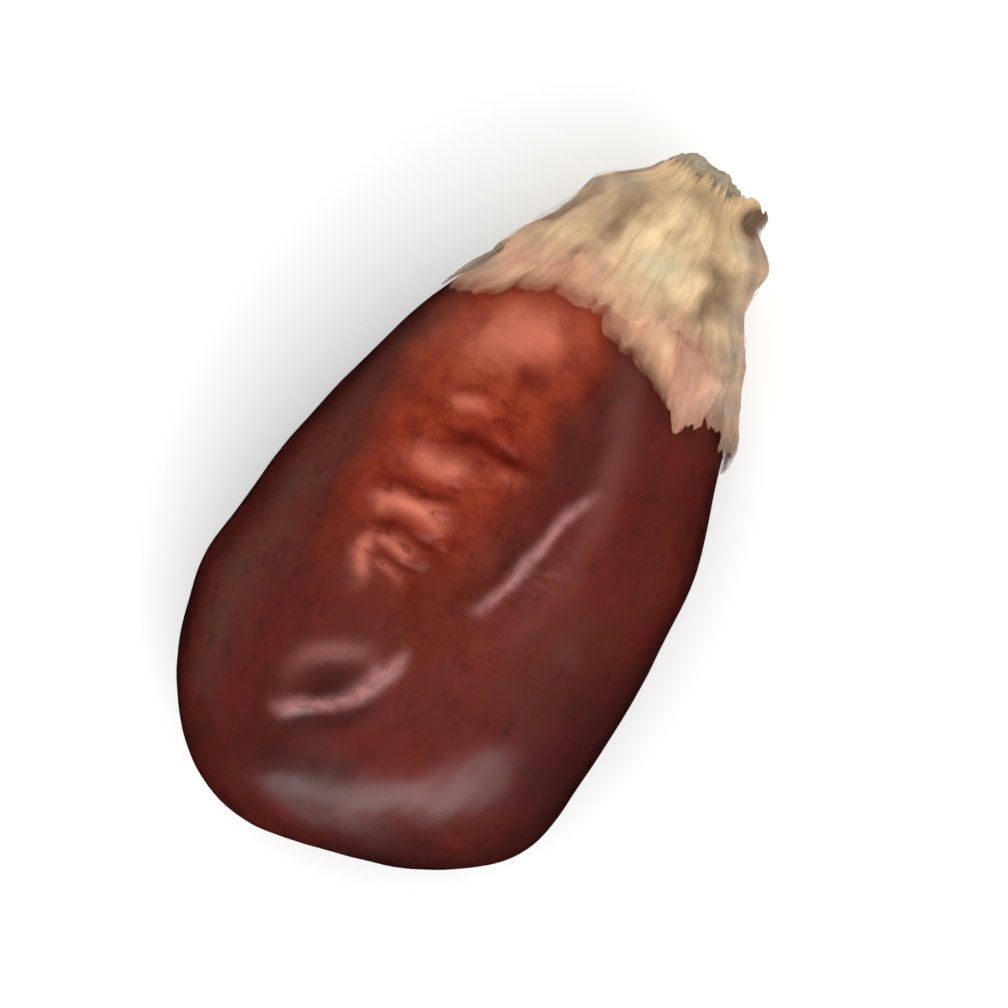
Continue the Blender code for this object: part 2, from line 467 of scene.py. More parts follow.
# Relief over the germ in millimetres: how deep it lies, and the height of a fold and the
# depth of a crease at which the painted highlight on the fold and the painted shade in the
# crease are at full strength.
GERM_DEPTH = 0.13
FOLD_SHARE_OF_HEIGHT = 0.75
FULL_FOLD_HIGHLIGHT = 0.095
FULL_CREASE_SHADE = 0.075

# Oval spots of colour in plan: centre and half sizes in millimetres, and strength. The
# patch lies across the diagonal, so its numbers are for y + x and y - x.
HEART_SPOTS = [((0.25, -1.70), (2.10, 2.30), 1.0)]
PATCH_SPOTS = [((0.95, 3.55), (1.35, 0.75), 1.0)]
# Painted shade: dark purple-maroon over the lower right flank and along the crown's rim.
CROWN_SHADE_SPOTS = [
    ((3.20, -2.90), (1.15, 2.40), 1.0),
    ((1.70, -5.60), (1.50, 0.75), 1.0),
    ((-0.50, -5.20), (1.50, 0.75), 0.75),
]
RUST_SPOTS = [
    ((2.35, -0.95), (0.55, 0.85), 1.0),
    ((1.85, -1.90), (0.45, 0.60), 0.8),
]


def germ_radius(x, y):
    """Below 1 inside the tongue-shaped germ, and above 1 outside it."""
    narrowing = 1.0 - 0.045 * np.clip(y - GERM_FULL_FROM, 0.0, None) ** 1.5
    across = np.abs(x - GERM_MIDDLE) / (GERM_HALF_WIDTH * narrowing)
    along = np.clip((GERM_FULL_FROM - y) / (GERM_FULL_FROM - GERM_CROWN_END), 0.0, None)
    return (across**GERM_POWER + along**GERM_POWER) ** (1.0 / GERM_POWER)


def nearest_on_line(x, y, start, end):
    """Where the nearest point of a straight line in plan is, from 0 to 1, and how far off."""
    run = np.array(end) - np.array(start)
    along = ((x - start[0]) * run[0] + (y - start[1]) * run[1]) / (run @ run)
    held = np.clip(along, 0.0, 1.0)
    return held, np.hypot(x - (start[0] + held * run[0]), y - (start[1] + held * run[1]))


def segment_ridge(x, y, start, end, width):
    """1 along a straight line in plan, falling off to its sides and towards its two ends."""
    held, away = nearest_on_line(x, y, start, end)
    return hump(away, width) * (1.0 - 0.75 * np.abs(2.0 * held - 1.0) ** 3)


def ridge_heights(x, y, lines, widened=1.0):
    """The height that each of these lines gives here, at this many times its own width."""
    return [
        height * segment_ridge(x, y, start, end, widened * width)
        for start, end, width, height in lines
    ]


def path_ridge(x, y, path, width):
    """1 along a bent line in plan, which runs down from its first point, fading at both ends."""
    gaps = [nearest_on_line(x, y, start, end)[1] for start, end in zip(path, path[1:])]
    top, bottom = path[0][1], path[-1][1]
    ends = ease(bottom - 0.1, bottom + 0.5, y) * (1.0 - ease(top - 0.5, top + 0.1, y))
    return hump(np.minimum.reduce(gaps), width) * ends


def crown_fold(x, y):
    """The dimple past the germ's crown end, with a thick lip outside it and a soft far rim.

    Gives the height, the lip's and the far rim's masks for painted highlights, and the mask
    for painted shade in the hollows.
    """
    dx, dy = x - LIP_CENTRE[0], y - LIP_CENTRE[1]
    turn = np.degrees(np.arctan2(dy, dx))
    beyond = np.hypot(dx, dy) - LIP_RADIUS + 0.07 * ease(-45.0, -20.0, turn)
    reach = ease(-71.0, -57.0, turn) * (1.0 - ease(-16.0, -3.0, turn))
    thick = 0.125 + 0.020 * np.cos(np.radians((turn + 26.0) * 7.5))
    crest = hump(beyond, thick) * reach
    foot = hump(beyond - 0.26, 0.13) * reach * (1.0 - ease(-35.0, -20.0, turn))
    slope = math.radians(DIMPLE_SLOPE)
    dx, dy = x - DIMPLE_CENTRE[0], y - DIMPLE_CENTRE[1]
    long_way = (dx * math.cos(slope) + dy * math.sin(slope)) / DIMPLE_HALF_LENGTH
    short_way = (dy * math.cos(slope) - dx * math.sin(slope)) / DIMPLE_HALF_WIDTH
    away = np.hypot(long_way, short_way)
    dimple = np.clip(1.0 - away**2, 0.0, 1.0) ** 1.5
    far_rim = hump(away - 1.05, 0.30) * ease(-0.25, 0.75, short_way) * hump(long_way - 0.20, 0.85)
    height = LIP_HEIGHT * crest - LIP_FOOT_DEPTH * foot
    height = height - DIMPLE_DEPTH * dimple + FAR_RIM_HEIGHT * far_rim
    return height, crest, far_rim, np.maximum(dimple, foot)


def spots(x, y, places):
    """The strongest of some oval spots in plan, each fading out round its middle."""
    marks = [
        strength * hump(np.hypot((x - centre[0]) / radii[0], (y - centre[1]) / radii[1]), 1.0)
        for centre, radii, strength in places
    ]
    return np.maximum.reduce(marks)


def side_ridges(points, x, y):
    """The sharp ridge at the germ's right side and the soft one outside it, with faint rungs.

    Gives the height and the two ridges' masks, which paint highlights along the ridges.
    """
    line_x, line_y = 0.7 * points[..., 0] + 0.3 * x, points[..., 1]
    ridge = path_ridge(line_x, line_y, SIDE_RIDGE, 0.085)
    outer = path_ridge(line_x, line_y, OUTER_RIDGE, 0.24)
    outer *= 0.4 + 0.6 * ease(-0.6, 0.8, line_y)
    rungs = make_noise(25, 0.20, 2, (3.0, 1.0, 1.0))(points)
    beside = hump(x - 1.10 - 0.10 * y, 0.28) * ease(-1.9, -1.3, y) * (1.0 - ease(0.5, 1.0, y))
    return 0.050 * ridge + 0.022 * outer + 0.004 * beside * rungs, ridge, outer


def germ_relief(points, x, y):
    """The sunken germ with its swollen embryo, folds, creases and wrinkles.

    Gives the height, and the masks for the painted highlight on the folds and the painted
    shade in the creases and wrinkles.
    """
    crown_side = ease(-2.5, -1.5, y)
    tip_side = 1.0 - ease(2.4, 3.8, y)
    relief = -GERM_DEPTH * (1.0 - ease(0.78, 1.04, germ_radius(x, y)))
    relief += 0.12 * hump(x + 1.25, 0.50) * crown_side * tip_side
    relief -= 0.15 * hump(x + 0.10, 0.42) * crown_side
    relief += 0.060 * hump(x - 0.95 - 0.16 * y, 0.34) * ease(-2.8, -1.6, y)
    folds = ridge_heights(x, y, GERM_FOLDS)
    creases = ridge_heights(x, y, GERM_CREASES)
    relief += FOLD_SHARE_OF_HEIGHT * sum(folds) - sum(creases)
    # Painted highlight on the fold crests, painted shade in the creases and wrinkles.
    fold_highlight_mask = np.maximum.reduce(folds) / FULL_FOLD_HIGHLIGHT
    crease_shade_mask = np.maximum.reduce(creases) / FULL_CREASE_SHADE
    wrinkles = make_noise(23, 0.62, 2, (2.4, 1.0, 1.0))(points)
    embryo = hump(x + 1.0, 0.85) * ease(-2.5, -1.6, y) * (1.0 - ease(1.2, 2.6, y))
    relief += 0.040 * (np.abs(wrinkles) - 0.6) * embryo
    crease_shade_mask = np.maximum(crease_shade_mask, 0.75 * hump(wrinkles, 0.16) * embryo)
    crinkles = make_noise(24, 0.42, 2, (0.7, 1.3, 1.0))(points)
    beside = hump(x - 0.10, 0.55) * ease(-2.7, -2.0, y) * (1.0 - ease(0.2, 1.2, y))
    relief += 0.018 * (np.abs(crinkles) - 0.5) * beside
    crease_shade_mask = np.maximum(crease_shade_mask, 0.55 * hump(crinkles, 0.16) * beside)
    return relief, fold_highlight_mask, crease_shade_mask


def coat_relief(points, y):
    """Broad swells all over, pleats on the crown and hair-fine lines along the grain."""
    on_crown = 1.0 - ease(-4.8, -2.8, y)
    relief = 0.030 * make_noise(3, 3.4, 2)(points) + 0.0025 * make_noise(4, 1.0, 2)(points)
    relief += 0.007 * make_noise(6, 1.3, 1, (2.2, 0.9, 1.0))(points) * on_crown
    return relief + 0.0008 * make_noise(5, 0.45, 2, (1.0, 7.0, 1.0))(points)


def grain_relief(points, up):
    """Fine relief height over the rounded form in millimetres; colour masks, painted light among
    them.
    """
    plain_x, plain_y = points[..., 0], points[..., 1]
    x = plain_x + 0.050 * make_noise(21, 0.8, 1)(points)
    y = plain_y + 0.050 * make_noise(22, 0.8, 1)(points)
    ridges, ridge, outer = side_ridges(points, x, y)
    germ, folds, creases = germ_relief(points, x, y)
    skin, lip, far_rim, shaded_hollows = crown_fold(0.6 * plain_x + 0.4 * x, 0.6 * plain_y + 0.4 * y)
    relief = (germ + ridges + skin) * up * (1.0 - 0.7 * ease(3.0, 3.8, y))
    relief += coat_relief(points, y)
    left_edge = ease(-2.65, -2.00, x - 0.10 * np.clip(1.0 - y, 0.0, None))
    ember = left_edge * (1.0 - ease(-0.42, 0.60, x)) * ease(-2.9, -0.2, y)
    masks = {
        "ember": ember * up,
        "patch": spots(y + x, y - x, PATCH_SPOTS) * up,
        # Painted highlight on the fold crests, painted shade in the creases and wrinkles.
        "fold_highlight": folds * up,
        "crease_shade": creases * up,
        # Painted highlight along the sharp ridge and on the lip of the crown fold.
        "ridge": np.maximum(ridge, lip) * up,
        # Painted highlight on the dimple's far rim and, weaker, on the soft outer ridge.
        "rim": np.maximum(far_rim, 0.35 * outer) * up,
        # Painted shade in the dimple and in the groove outside the lip.
        "dimple_shade": shaded_hollows * up,
        "heart": spots(x, y, HEART_SPOTS) * up,
        # Painted sheen: the left flank browner and hazier, as a faint reflection makes it.
        "left": (1.0 - ease(-2.9, -1.9, x)) * up,
        # Painted shade: darker towards the underside, where less light falls.
        "flank_shade": 1.0 - up,
        # Painted shade over the lower right flank and along the crown's rim.
        "crown_shade": spots(x, y, CROWN_SHADE_SPOTS),
        "rust": spots(x, y, RUST_SPOTS) * up,
    }
    return relief, masks


def grain_stations():
    """Rows from the crown to the tip, closer together near the crown's pole and at the tip."""
    crown_turns = TAU / 4.0 * np.linspace(0.0, 1.0, CROWN_ROWS)[1:] ** 1.5
    crown = WIDEST_FROM_CROWN * (1.0 - np.cos(crown_turns))
    taper_end = GRAIN_LENGTH - TIP_ROUNDING
    taper = np.linspace(WIDEST_FROM_CROWN, taper_end, TAPER_ROWS)[1:]
    tip = taper_end + TIP_ROUNDING * np.sin(np.linspace(0.0, TAU / 4.0, TIP_ROWS)[1:-1])
    return np.concatenate([crown, taper, tip])


def make_grain():
    steps = np.arange(GRAIN_COLUMNS) / GRAIN_COLUMNS * TAU
    angles = steps + 0.32 * np.cos(steps)
    y, angle = np.meshgrid(grain_stations(), angles, indexing="ij")
    into_tip = np.clip((y - (GRAIN_LENGTH - TIP_ROUNDING)) / TIP_ROUNDING, 0.0, ALMOST_ONE)
    points = section_points(y, angle, shrink=np.sqrt(1.0 - into_tip**2)) + SHIFT
    normals = grid_normals(points, wrap=True)
    up = ease(0.25, 0.75, normals[..., 2])
    relief, masks = grain_relief(points, up)
    poles_apart = ease(0.0, 0.05, y) * (1.0 - ease(GRAIN_LENGTH - 0.3, GRAIN_LENGTH, y))
    points = points + normals * (relief * poles_apart)[..., None]
    points[..., 2] = np.maximum(points[..., 2], 0.0)
    poles = np.array([[0.0, 0.0, BACK_DEPTH], [0.0, GRAIN_LENGTH, BACK_DEPTH]]) + SHIFT
    flat, faces = capped_tube(points, poles[:1], poles[1:])
    values = {label: np.append(numbers.ravel(), [0.0, 0.0]) for label, numbers in masks.items()}
    grain = new_object("grain_skin", flat, faces, seed_coat_material(), values)
    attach(grain, "root")
    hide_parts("grain")


def seed_coat_material():
    """A hard half-glossy coat: dark maroon, glowing red over the germ, with painted highlights and
    shade.
    """
    material, tree, shader = new_material("seed_coat")
    blotches = remap(tree, texture(tree, 1.7, detail=5.0, rough=0.6), 0.40, 0.62)
    color = blend_color(tree, blotches, (0.070, 0.0092, 0.0042), (0.100, 0.0042, 0.0024))
    # Painted sheen: the left flank browner and hazier, as a faint reflection makes it.
    color = blend_color(tree, mask(tree, "left"), color, (0.088, 0.0290, 0.0180))
    heart = masked(tree, "heart", remap(tree, blotches, 0.0, 1.0, 0.75, 1.0))
    color = blend_color(tree, heart, color, (0.145, 0.0185, 0.0095))
    # Painted shade: darker towards the underside, where less light falls.
    color = blend_color(tree, masked(tree, "flank_shade", 0.85), color, (0.044, 0.0050, 0.0040))
    flecks = remap(tree, texture(tree, 0.50, (1.0, 0.4, 1.0), 5.0, 0.7), 0.42, 0.68, 0.0, 0.65)
    color = blend_color(tree, flecks, color, (0.118, 0.0105, 0.0040))
    smudges = remap(tree, texture(tree, 0.80, (1.0, 0.7, 1.0), 5.0, 0.65), 0.52, 0.68, 0.0, 0.55)
    color = blend_color(tree, smudges, color, (0.050, 0.0070, 0.0038))
    specks = remap(tree, texture(tree, 0.22, (1.0, 0.5, 1.0), 4.0, 0.7), 0.55, 0.72, 0.0, 0.55)
    color = blend_color(tree, specks, color, (0.042, 0.0048, 0.0030))
    mottled = remap(tree, texture(tree, 0.55, detail=5.0, rough=0.65), 0.34, 0.64, 0.0, 1.0)
    rust = masked(tree, "rust", remap(tree, mottled, 0.0, 1.0, 0.2, 0.9))
    color = blend_color(tree, rust, color, (0.090, 0.0150, 0.0030))
    # Painted shade: dark purple-maroon over the lower right flank and along the crown's rim.
    color = blend_color(tree, masked(tree, "crown_shade", 0.8), color, (0.028, 0.0050, 0.0056))
    glow = blend_color(tree, mottled, (0.165, 0.0120, 0.0026), (0.262, 0.0310, 0.0090))
    color = blend_color(tree, mask(tree, "ember"), color, glow)
    dappled = remap(tree, mottled, 0.0, 1.0, 0.62, 1.0)
    beaded = remap(tree, texture(tree, 0.30, detail=2.0), 0.38, 0.60, 0.55, 0.95)
    marks = [
        ("patch", dappled, (0.370, 0.0870, 0.0400)),
        # Painted highlight on the fold crests.
        ("fold_highlight", dappled, (0.560, 0.1520, 0.0960)),
        # Painted shade in the creases and wrinkles.
        ("crease_shade", 0.85, (0.090, 0.0038, 0.0008)),
        # Painted highlight on the dimple's far rim and the outer ridge.
        ("rim", 0.85, (0.220, 0.0750, 0.0600)),
        # Painted shade in the dimple and in the groove outside the lip.
        ("dimple_shade", 0.80, (0.050, 0.0060, 0.0040)),
        # Painted highlight on the sharp ridge and the lip.
        ("ridge", beaded, (0.370, 0.1530, 0.1450)),
    ]
    for label, strength, tint in marks:
        color = blend_color(tree, masked(tree, label, strength), color, tint)
    tree.links.new(color, shader.inputs["Base Color"])
    dull = texture(tree, 0.9, detail=4.0)
    polish = remap(tree, dull, 0.3, 0.7, 0.30, 0.42)
    roughness = calculate(tree, "ADD", polish, masked(tree, "ember", 0.12))
    tree.links.new(roughness, shader.inputs["Roughness"])
    shader.inputs["Specular IOR Level"].default_value = 0.05
    coat = remap(tree, mask(tree, "ember"), 0.0, 1.0, 0.80, 0.20)
    out_of_creases = remap(tree, mask(tree, "crease_shade"), 0.0, 1.0, 1.0, 0.3)
    coat = calculate(tree, "MULTIPLY", coat, out_of_creases)
    tree.links.new(coat, shader.inputs["Coat Weight"])
    tree.links.new(remap(tree, dull, 0.3, 0.7, 0.24, 0.36), shader.inputs["Coat Roughness"])
    shader.inputs["Subsurface Weight"].default_value = 0.05
    shader.inputs["Subsurface Scale"].default_value = 0.4 * MM
    pebbles = texture(tree, 0.16, detail=3.0)
    grain_lines = texture(tree, 0.10, (1.0, 0.12, 1.0), 2.0)
    add_bumps(tree, shader, [(pebbles, 0.0035), (grain_lines, 0.0020)])
    return material


# The chaff


def bract_place(tree, fineness):
    """Coordinates on a bract: across its veins and along them, for noise drawn out lengthwise."""
    values = {"X": mask(tree, "across"), "Y": mask(tree, "down"), "Z": 0.0}
    vector = add_node(tree, "ShaderNodeCombineXYZ", inputs=values).outputs["Vector"]
    values = {"Vector": vector, "Scale": (1.0, fineness, 1.0)}
    return add_node(tree, "ShaderNodeMapping", inputs=values).outputs["Vector"]


def bract_texture(tree, scale, fineness, detail=3.0, rough=0.55):
    values = {
        "Vector": bract_place(tree, fineness),
        "Scale": scale,
        "Detail": detail,
        "Roughness": rough,
    }
    return add_node(tree, "ShaderNodeTexNoise", inputs=values).outputs["Fac"]


def straw_material(name, pale, tan, edge, see_through):
    """Dry papery chaff: veins, painted brown shade in hollows, painted highlights, grey thin
    places and a see-through fringe.
    """
    material, tree, shader = new_material(name)
    veins = bract_texture(tree, 60.0, 0.05, 3.0)
    streaks = bract_texture(tree, 16.0, 0.12, 4.0, 0.6)
    blotches = texture(tree, 0.8, (1.0, 0.6, 1.0), 5.0, 0.65)
    color = blend_color(tree, remap(tree, streaks, 0.42, 0.70), pale, tan)
    color = blend_color(tree, remap(tree, blotches, 0.50, 0.75, 0.0, 0.6), color, tan)
    broken = remap(tree, bract_texture(tree, 25.0, 0.5, 4.0), 0.3, 0.7, 0.80, 1.0)
    marks = [
        # Painted highlight on the fold crests.
        ("glow", 0.7, tuple(min(1.10 * c + 0.02, 0.9) for c in pale)),
        ("blush", broken, edge),
        # Painted highlight: pale greenish-white sheen spots on the chaff.
        ("sheen_spot", remap(tree, streaks, 0.3, 0.7, 1.0, 0.6), (0.570, 0.490, 0.310)),
        ("sunny", 0.8, (0.800, 0.580, 0.330)),
        # Painted shade in the hollows.
        ("hollow_shade", remap(tree, blotches, 0.25, 0.60, 0.65, 1.0), (0.190, 0.115, 0.056)),
        ("thin", remap(tree, streaks, 0.3, 0.7, 0.65, 1.0), (0.275, 0.210, 0.150)),
    ]
    for label, strength, tint in marks:
        color = blend_color(tree, masked(tree, label, strength), color, tint)
    # Painted shade: near-black dark brown on the torn scrap beside the stalk.
    scrap_shade = remap(tree, mask(tree, "scrap_shade"), 0.15, 0.60, 0.0, 0.92)
    color = blend_color(tree, scrap_shade, color, (0.070, 0.034, 0.016))
    dark_vein = tuple(0.55 * c for c in tan)
    color = blend_color(tree, remap(tree, veins, 0.48, 0.75, 0.0, 0.4), color, dark_vein)
    tree.links.new(color, shader.inputs["Base Color"])
    tree.links.new(remap(tree, blotches, 0.3, 0.7, 0.50, 0.75), shader.inputs["Roughness"])
    shader.inputs["Specular IOR Level"].default_value = 0.35
    shader.inputs["Subsurface Weight"].default_value = 0.2
    shader.inputs["Subsurface Scale"].default_value = 0.10 * MM
    solid = remap(tree, masked(tree, "rim", broken), 0.0, 1.0, 1.0, see_through)
    tree.links.new(solid, shader.inputs["Alpha"])
    crumple = texture(tree, 0.22, (1.0, 0.5, 1.0), 4.0)
    add_bumps(tree, shader, [(crumple, 0.022), (veins, 0.012)])
    return material


def cloak_points(y, angle, outset):
    """Points round the tip as section_points gives them, without the kink at the grain's end."""
    offsets = np.linspace(-0.40, 0.40, 9)
    total = sum(section_points(y + d, angle, outset) - [0.0, d, 0.0] for d in offsets)
    return total / len(offsets) + SHIFT


def edge_profile(angles, stops):
    """A free edge's reach from (angle in degrees, millimetres below the grain's end) pairs."""
    places = [(stop[0] - angles[0]) / (angles[1] - angles[0]) for stop in stops]
    return lambda across: np.interp(across, places, [stop[1] for stop in stops])


def edge_noise(seed, count, feature, octaves=3):
    """Smooth random ups and downs across a bract's edge; feature is in tenths of its width."""
    line = np.linspace(0.0, 10.0, count)
    points = np.stack([line, np.zeros(count), np.zeros(count)], axis=-1)
    return make_noise(seed, feature, octaves)(points)


BRACT_COLUMNS, BRACT_ROWS = 220, 96
SHEET_THICKNESS = 0.03
LOW_BASE = 1.16
DRAPE_CAP = 0.08
# Painted shade in the chaff's hollows is full at this depth and spreads over this many times their
# width; the painted highlight on its folds is full at this height.
FULL_HOLLOW_SHADE = 0.095
FULL_CHAFF_HIGHLIGHT = 0.07
HOLLOW_SHADE_SPREAD = 1.9

# The torn scrap beside the stalk: its angle and half width in degrees.
SCRAP_ANGLE = (33.0, 15.0)

# How far the upper right shoulder of the chaff stands out, in millimetres past the rounded
# form: its height, its place past the grain's end and its angle, each with a half width.
SHOULDER_HEIGHT = 0.42
SHOULDER_PLACE = (0.85, 0.45)
SHOULDER_ANGLE = (8.0, 28.0)

# Folds and hollows of the chaff over the tip: start, end, half width, and height or depth,
# in millimetres.
CHAFF_FOLDS = [
    ((-1.00, 5.15), (-1.90, 3.70), 0.15, 0.090),
    ((-0.30, 5.55), (-0.30, 4.90), 0.20, 0.070),
    ((0.30, 5.50), (0.35, 5.00), 0.12, 0.060),
    ((0.45, 4.75), (0.62, 4.05), 0.11, 0.085),
    ((-0.35, 4.43), (0.40, 4.40), 0.24, 0.055),
    ((0.80, 5.42), (0.98, 5.25), 0.14, 0.085),
    ((1.25, 4.40), (1.70, 3.20), 0.14, 0.070),
    ((-0.55, 4.55), (-1.15, 3.75), 0.11, 0.060),
]
CHAFF_HOLLOWS = [
    ((-0.62, 5.32), (-1.25, 4.40), 0.15, 0.075),
    ((0.72, 5.00), (1.22, 4.05), 0.17, 0.110),
    ((-0.35, 5.78), (0.45, 5.72), 0.12, 0.035),
    ((-0.40, 4.12), (-1.45, 3.80), 0.10, 0.022),
    ((0.05, 5.30), (0.05, 4.75), 0.09, 0.050),
    ((-1.35, 5.00), (-2.10, 3.60), 0.12, 0.070),
    ((0.10, 4.00), (0.75, 3.80), 0.10, 0.040),
    ((-0.85, 5.50), (0.90, 5.58), 0.12, 0.045),
    ((-0.80, 4.68), (-0.92, 4.22), 0.13, 0.055),
    ((-0.42, 5.10), (-0.48, 4.72), 0.10, 0.035),
]


def free_edge(across, reach, tears, seed):
    """Where a bract's ragged free edge runs: lobes, frays, tears, and corners cut back."""
    columns = across.shape[1]
    lobes = 0.05 * edge_noise(seed + 2, columns, 1.6, 2)
    frays = 0.022 * edge_noise(seed + 3, columns, 0.5, 3)
    free = GRAIN_LENGTH - reach(across) + lobes + frays
    for centre, width, depth in tears:
        free = free + depth * np.clip(1.0 - np.abs(across - centre) / width, 0.0, 1.0) ** 1.3
    corners = (1.0 - np.clip(6.0 * np.minimum(across, 1.0 - across), 0.0, 1.0)) ** 2
    return free + 0.5 * corners


def near_places(points, places):
    """1 at each (x, y, radius) place in the frame, fading out round it."""
    mark = np.zeros(points.shape[:-1])
    for x, y, radius in places:
        away = np.hypot(points[..., 0] - x, points[..., 1] - y)
        mark = np.maximum(mark, hump(away, radius))
    return mark


def make_bract(
    name, angles, reach, top, outset, flare, seed, material, tears, marks, scrap_lift=0.0
):
    """A thin crumpled sheet round the tip, from its torn base down to a ragged free edge.

    angles are in degrees; reach(across) is how far the free edge lies below the grain's end
    and top(across) how far the base lies past it; tears are (across, half width, depth)
    notches in the free edge; marks maps a mask's name to (x, y, radius) places in the frame;
    scrap_lift is how far the torn scrap beside the stalk stands up.
    """
    columns, rows = BRACT_COLUMNS, BRACT_ROWS
    across_line = np.linspace(0.0, 1.0, columns)
    down, across = np.meshgrid(np.linspace(1.0, 0.0, rows), across_line, indexing="ij")
    angle = np.radians(mix(angles[0], angles[1], across))
    base = GRAIN_LENGTH + top(across) + 0.05 * edge_noise(seed + 1, columns, 0.8)
    free = free_edge(across, reach, tears, seed)
    y = mix(base, free, down)
    flat = cloak_points(y, angle, outset)
    crumple = 0.036 * make_noise(31, 0.9, 3, (1.0, 1.6, 1.0))(flat)
    own = 0.010 * make_noise(seed + 4, 0.5, 3, (1.0, 2.5, 1.0))(flat)
    pleats = 0.010 * np.sin(angle * 34.0 + 1.6 * make_noise(seed + 5, 1.6, 2)(flat))
    curl = flare * ease(0.45, 1.0, down) ** 2 * (1.0 + 0.5 * edge_noise(seed + 6, columns, 1.6))
    curl = curl * ease(0.1, 0.6, np.abs(np.sin(angle)))
    warp_x = flat[..., 0] + 0.05 * make_noise(32, 0.8, 2)(flat)
    warp_y = flat[..., 1] + 0.05 * make_noise(33, 0.8, 2)(flat)
    upper = ease(0.0, 0.35, np.sin(angle))
    folds = sum(ridge_heights(warp_x, warp_y, CHAFF_FOLDS)) * upper
    hollows = sum(ridge_heights(warp_x, warp_y, CHAFF_HOLLOWS)) * upper
    hollow_shades = sum(ridge_heights(warp_x, warp_y, CHAFF_HOLLOWS, HOLLOW_SHADE_SPREAD)) * upper
    out = outset + crumple + own + pleats + curl + folds - hollows
    past_tip = y - GRAIN_LENGTH
    gathered = ease(0.35, BRACT_BASE_FROM_TIP - 0.1, past_tip)
    hug = 0.35 * outset - 0.15 - 0.06 * np.abs(np.cos(angle))
    out = mix(out, hug + 0.8 * own + 0.5 * folds + 0.8 * pleats, gathered)
    out = np.maximum(out, np.where(y < GRAIN_LENGTH, 0.3 * outset, -0.24))
    drape, _ = grain_relief(flat, ease(0.2, 0.7, np.sin(angle)))
    out = out + 0.9 * np.minimum(drape, DRAPE_CAP) * (1.0 - ease(-0.3, 0.2, past_tip))
    turn = (np.degrees(angle) + 90.0) % 360.0 - 90.0
    shoulder = hump(past_tip - SHOULDER_PLACE[0], SHOULDER_PLACE[1])
    out = out + SHOULDER_HEIGHT * shoulder * hump(turn - SHOULDER_ANGLE[0], SHOULDER_ANGLE[1])
    scrap = hump(turn - SCRAP_ANGLE[0], SCRAP_ANGLE[1]) * ease(0.80, 1.35, past_tip)
    points = cloak_points(y, angle, out + scrap_lift * scrap)
    side_gap = np.minimum(across, 1.0 - across) * math.radians(angles[1] - angles[0]) * 2.0
    edge_gap = np.minimum(y - free, side_gap)
    torn = (1.0 - ease(0.0, 0.16, base - y)) * (1.0 - scrap)
    values = {
        "rim": np.maximum(1.0 - ease(0.0, 0.60, edge_gap), 0.8 * torn),
        "blush": 1.0 - ease(0.05, 0.95, edge_gap),
        "across": across,
        "down": down,
        # Painted shade in the hollows.
        "hollow_shade": np.clip(hollow_shades / FULL_HOLLOW_SHADE, 0.0, 1.0),
        # Painted highlight on the fold crests.
        "glow": np.clip(folds / FULL_CHAFF_HIGHLIGHT, 0.0, 1.0),
    }
    for label in ("thin", "scrap_shade", "sheen_spot", "sunny"):
        values[label] = near_places(points, marks.get(label, ()))
    faces = grid_faces(rows, columns, wrap=False)
    item = new_object(name + "_sheet", points.reshape(-1, 3), faces, material, values)
    solid = item.modifiers.new("thickness", "SOLIDIFY")
    solid.thickness = SHEET_THICKNESS * MM
    solid.offset = 0.0
    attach(item, "root")
    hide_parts(name)


